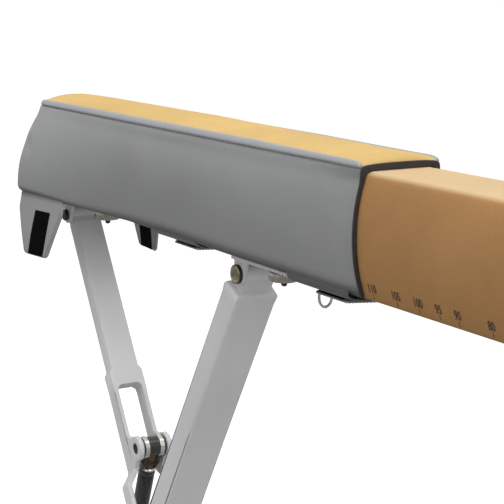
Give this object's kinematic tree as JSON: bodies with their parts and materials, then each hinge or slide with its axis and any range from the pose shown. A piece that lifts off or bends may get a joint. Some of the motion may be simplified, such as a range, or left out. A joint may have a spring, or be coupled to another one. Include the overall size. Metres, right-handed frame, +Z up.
{
  "type": "balance beam",
  "caption": "Suede-covered gymnastics balance beam on two X-scissor supports that set its height, with a padded crowned cover over one end held by flaps under the beam",
  "frame": {"origin": "on the floor, under the middle of the beam", "axes": "+X along the beam towards the plain end, the padded end at -X; +Y across the beam to the rear, the printed scale faces -Y; +Z up"},
  "size_m": [5.026, 1.06, 1.275],
  "materials": {
    "suede": "tan suede, matt",
    "aluminium": "mill finish profile",
    "painted_steel": "light grey powder coat",
    "zinc_steel": "zinc plated",
    "dark_steel": "blackened",
    "black_lacquer": "gloss black",
    "rubber": "matt black",
    "pad_yellow": "cream yellow suede over foam",
    "pad_grey": "smooth grey vinyl over foam",
    "binding": "dark woven binding"
  },
  "bodies": {
    "beam": {"beam_core": "aluminium", "beam_cover": "suede", "beam_end_cap_left": "suede", "beam_end_cap_right": "suede", "rail_left": "aluminium", "rail_right": "aluminium", "bracket_fixed_left": "painted_steel", "pin_fixed_left": "dark_steel", "bracket_fixed_right": "painted_steel", "pin_fixed_right": "dark_steel", "pad_top": "pad_yellow", "pad_side_front": "pad_grey", "pad_side_rear": "pad_grey", "pad_binding": "binding"},
    "fork_leg_left": {"fork_leg_left": "painted_steel", "pin_cross_left": "zinc_steel", "pin_spring_upper_left": "dark_steel"},
    "cross_leg_left": {"cross_leg_left": "painted_steel"},
    "slide_bracket_left": {"bracket_slide_left": "painted_steel", "pin_slide_left": "zinc_steel"},
    "foot_fork_left": {"foot_bar_fork_left": "painted_steel", "foot_fork_front_left": "rubber", "foot_fork_rear_left": "rubber"},
    "foot_cross_left": {"foot_bar_cross_left": "painted_steel", "foot_cross_front_left": "rubber", "foot_cross_rear_left": "rubber"},
    "spring_cylinder_left": {"spring_cylinder_left": "black_lacquer"},
    "spring_rod_left": {"spring_rod_left": "zinc_steel", "pin_spring_lower_left": "dark_steel"},
    "knob_fixed_left": {"knob_fixed_left": "zinc_steel"},
    "knob_slide_left": {"knob_slide_left": "zinc_steel"},
    "ring_left": {"ring_left": "zinc_steel"},
    "fork_leg_right": {"fork_leg_right": "painted_steel", "pin_cross_right": "zinc_steel", "pin_spring_upper_right": "dark_steel"},
    "cross_leg_right": {"cross_leg_right": "painted_steel"},
    "slide_bracket_right": {"bracket_slide_right": "painted_steel", "pin_slide_right": "zinc_steel"},
    "foot_fork_right": {"foot_bar_fork_right": "painted_steel", "foot_fork_front_right": "rubber", "foot_fork_rear_right": "rubber"},
    "foot_cross_right": {"foot_bar_cross_right": "painted_steel", "foot_cross_front_right": "rubber", "foot_cross_rear_right": "rubber"},
    "spring_cylinder_right": {"spring_cylinder_right": "black_lacquer"},
    "spring_rod_right": {"spring_rod_right": "zinc_steel", "pin_spring_lower_right": "dark_steel"},
    "knob_fixed_right": {"knob_fixed_right": "zinc_steel"},
    "knob_slide_right": {"knob_slide_right": "zinc_steel"},
    "ring_right": {"ring_right": "zinc_steel"},
    "flap_front_left": {"flap_front_left": "pad_grey"},
    "flap_rear_left": {"flap_rear_left": "pad_grey"},
    "flap_front_middle": {"flap_front_middle": "pad_grey"},
    "flap_rear_middle": {"flap_rear_middle": "pad_grey"},
    "flap_front_right": {"flap_front_right": "pad_grey"},
    "flap_rear_right": {"flap_rear_right": "pad_grey"}
  },
  "joints": [
    {"name": "support_fold_left", "type": "hinge", "parent": "beam", "child": "fork_leg_left", "pos_m": [-2.475, 0, 1.06], "axis": [0, -1, 0], "range_deg": [0, 30.19], "deforming": ["flap_front_right", "flap_rear_right"]},
    {"name": "scissor_pivot_left", "type": "hinge", "parent": "fork_leg_left", "child": "cross_leg_left", "pos_m": [-2.16441, 0, 0.5525], "axis": [0, -1, 0], "range_deg": [-60.5, 0]},
    {"name": "slide_bracket_pivot_left", "type": "hinge", "parent": "cross_leg_left", "child": "slide_bracket_left", "pos_m": [-1.85381, 0, 1.06], "axis": [0, -1, 0], "range_deg": [0, 30.3]},
    {"name": "foot_fork_pivot_left", "type": "hinge", "parent": "fork_leg_left", "child": "foot_fork_left", "pos_m": [-1.85381, 0, 0.045], "axis": [0, -1, 0], "range_deg": [-30.3, 0]},
    {"name": "foot_cross_pivot_left", "type": "hinge", "parent": "cross_leg_left", "child": "foot_cross_left", "pos_m": [-2.475, 0, 0.045], "axis": [0, -1, 0], "range_deg": [0, 30.3]},
    {"name": "spring_pivot_left", "type": "hinge", "parent": "fork_leg_left", "child": "spring_cylinder_left", "pos_m": [-2.20925, 0, 0.69857], "axis": [0, -1, 0], "range_deg": [-47.9, 0]},
    {"name": "spring_stroke_left", "type": "slide", "parent": "spring_cylinder_left", "child": "spring_rod_left", "axis": [0.3499, 0, 0.9368], "range_m": [0, 0.1362]},
    {"name": "knob_fixed_turn_left", "type": "hinge", "parent": "beam", "child": "knob_fixed_left", "pos_m": [-2.369, 0, 1.0732], "axis": [0, 0, 1], "continuous": true},
    {"name": "knob_slide_turn_left", "type": "hinge", "parent": "slide_bracket_left", "child": "knob_slide_left", "pos_m": [-1.77781, 0, 1.0732], "axis": [0, 0, 1], "continuous": true},
    {"name": "ring_swing_left", "type": "hinge", "parent": "slide_bracket_left", "child": "ring_left", "pos_m": [-1.67031, 0, 1.0762], "axis": [0, 1, 0], "range_deg": [-8, 75]},
    {"name": "support_fold_right", "type": "hinge", "parent": "beam", "child": "fork_leg_right", "pos_m": [2.475, 0, 1.06], "axis": [0, 1, 0], "range_deg": [0, 30.19]},
    {"name": "scissor_pivot_right", "type": "hinge", "parent": "fork_leg_right", "child": "cross_leg_right", "pos_m": [2.16441, 0, 0.5525], "axis": [0, 1, 0], "range_deg": [-60.5, 0]},
    {"name": "slide_bracket_pivot_right", "type": "hinge", "parent": "cross_leg_right", "child": "slide_bracket_right", "pos_m": [1.85381, 0, 1.06], "axis": [0, 1, 0], "range_deg": [0, 30.3]},
    {"name": "foot_fork_pivot_right", "type": "hinge", "parent": "fork_leg_right", "child": "foot_fork_right", "pos_m": [1.85381, 0, 0.045], "axis": [0, 1, 0], "range_deg": [-30.3, 0]},
    {"name": "foot_cross_pivot_right", "type": "hinge", "parent": "cross_leg_right", "child": "foot_cross_right", "pos_m": [2.475, 0, 0.045], "axis": [0, 1, 0], "range_deg": [0, 30.3]},
    {"name": "spring_pivot_right", "type": "hinge", "parent": "fork_leg_right", "child": "spring_cylinder_right", "pos_m": [2.20925, 0, 0.69857], "axis": [0, 1, 0], "range_deg": [-47.9, 0]},
    {"name": "spring_stroke_right", "type": "slide", "parent": "spring_cylinder_right", "child": "spring_rod_right", "axis": [-0.3499, 0, 0.9368], "range_m": [0, 0.1362]},
    {"name": "knob_fixed_turn_right", "type": "hinge", "parent": "beam", "child": "knob_fixed_right", "pos_m": [2.369, 0, 1.0732], "axis": [0, 0, 1], "continuous": true},
    {"name": "knob_slide_turn_right", "type": "hinge", "parent": "slide_bracket_right", "child": "knob_slide_right", "pos_m": [1.77781, 0, 1.0732], "axis": [0, 0, 1], "continuous": true},
    {"name": "ring_swing_right", "type": "hinge", "parent": "slide_bracket_right", "child": "ring_right", "pos_m": [1.67031, 0, 1.0762], "axis": [0, -1, 0], "range_deg": [-8, 75]},
    {"name": "flap_front_left_hinge", "type": "hinge", "parent": "beam", "child": "flap_front_left", "pos_m": [-2.4376, -0.09574, 1.10161], "axis": [-0.9902, -0.1395, 0], "range_deg": [-35, 95]},
    {"name": "flap_rear_left_hinge", "type": "hinge", "parent": "beam", "child": "flap_rear_left", "pos_m": [-2.4376, 0.09574, 1.10161], "axis": [0.9902, -0.1395, 0], "range_deg": [-35, 95]},
    {"name": "flap_rear_middle_hinge", "type": "hinge", "parent": "beam", "child": "flap_rear_middle", "pos_m": [-2.005, 0.0575, 1.0882], "axis": [1, 0, 0], "range_deg": [0, 115]},
    {"name": "flap_front_middle_hinge", "type": "hinge", "parent": "beam", "child": "flap_front_middle", "pos_m": [-2.005, -0.0585, 1.095], "axis": [-1, 0, 0], "range_deg": [0, 29]},
    {"name": "flap_rear_right_hinge", "type": "hinge", "parent": "beam", "child": "flap_rear_right", "pos_m": [-1.6, 0.0575, 1.0882], "axis": [1, 0, 0], "range_deg": [0, 115]},
    {"name": "flap_front_right_hinge", "type": "hinge", "parent": "beam", "child": "flap_front_right", "pos_m": [-1.6, -0.0585, 1.095], "axis": [-1, 0, 0], "range_deg": [0, 29]}
  ],
  "couplings": [
    {"joint": "scissor_pivot_left", "follows": "support_fold_left", "ratio": -2},
    {"joint": "slide_bracket_pivot_left", "follows": "support_fold_left", "ratio": 1},
    {"joint": "foot_fork_pivot_left", "follows": "support_fold_left", "ratio": -1},
    {"joint": "foot_cross_pivot_left", "follows": "support_fold_left", "ratio": 1},
    {"joint": "spring_pivot_left", "follows": "support_fold_left", "ratio": -1.5809},
    {"joint": "spring_stroke_left", "follows": "support_fold_left", "m_per_rad": 0.25767},
    {"joint": "scissor_pivot_right", "follows": "support_fold_right", "ratio": -2},
    {"joint": "slide_bracket_pivot_right", "follows": "support_fold_right", "ratio": 1},
    {"joint": "foot_fork_pivot_right", "follows": "support_fold_right", "ratio": -1},
    {"joint": "foot_cross_pivot_right", "follows": "support_fold_right", "ratio": 1},
    {"joint": "spring_pivot_right", "follows": "support_fold_right", "ratio": -1.5809},
    {"joint": "spring_stroke_right", "follows": "support_fold_right", "m_per_rad": 0.25767},
    {"joint": "flap_front_middle_hinge", "follows": "flap_rear_middle_hinge", "ratio": 0.25},
    {"joint": "flap_front_right_hinge", "follows": "flap_rear_right_hinge", "ratio": 0.25}
  ]
}
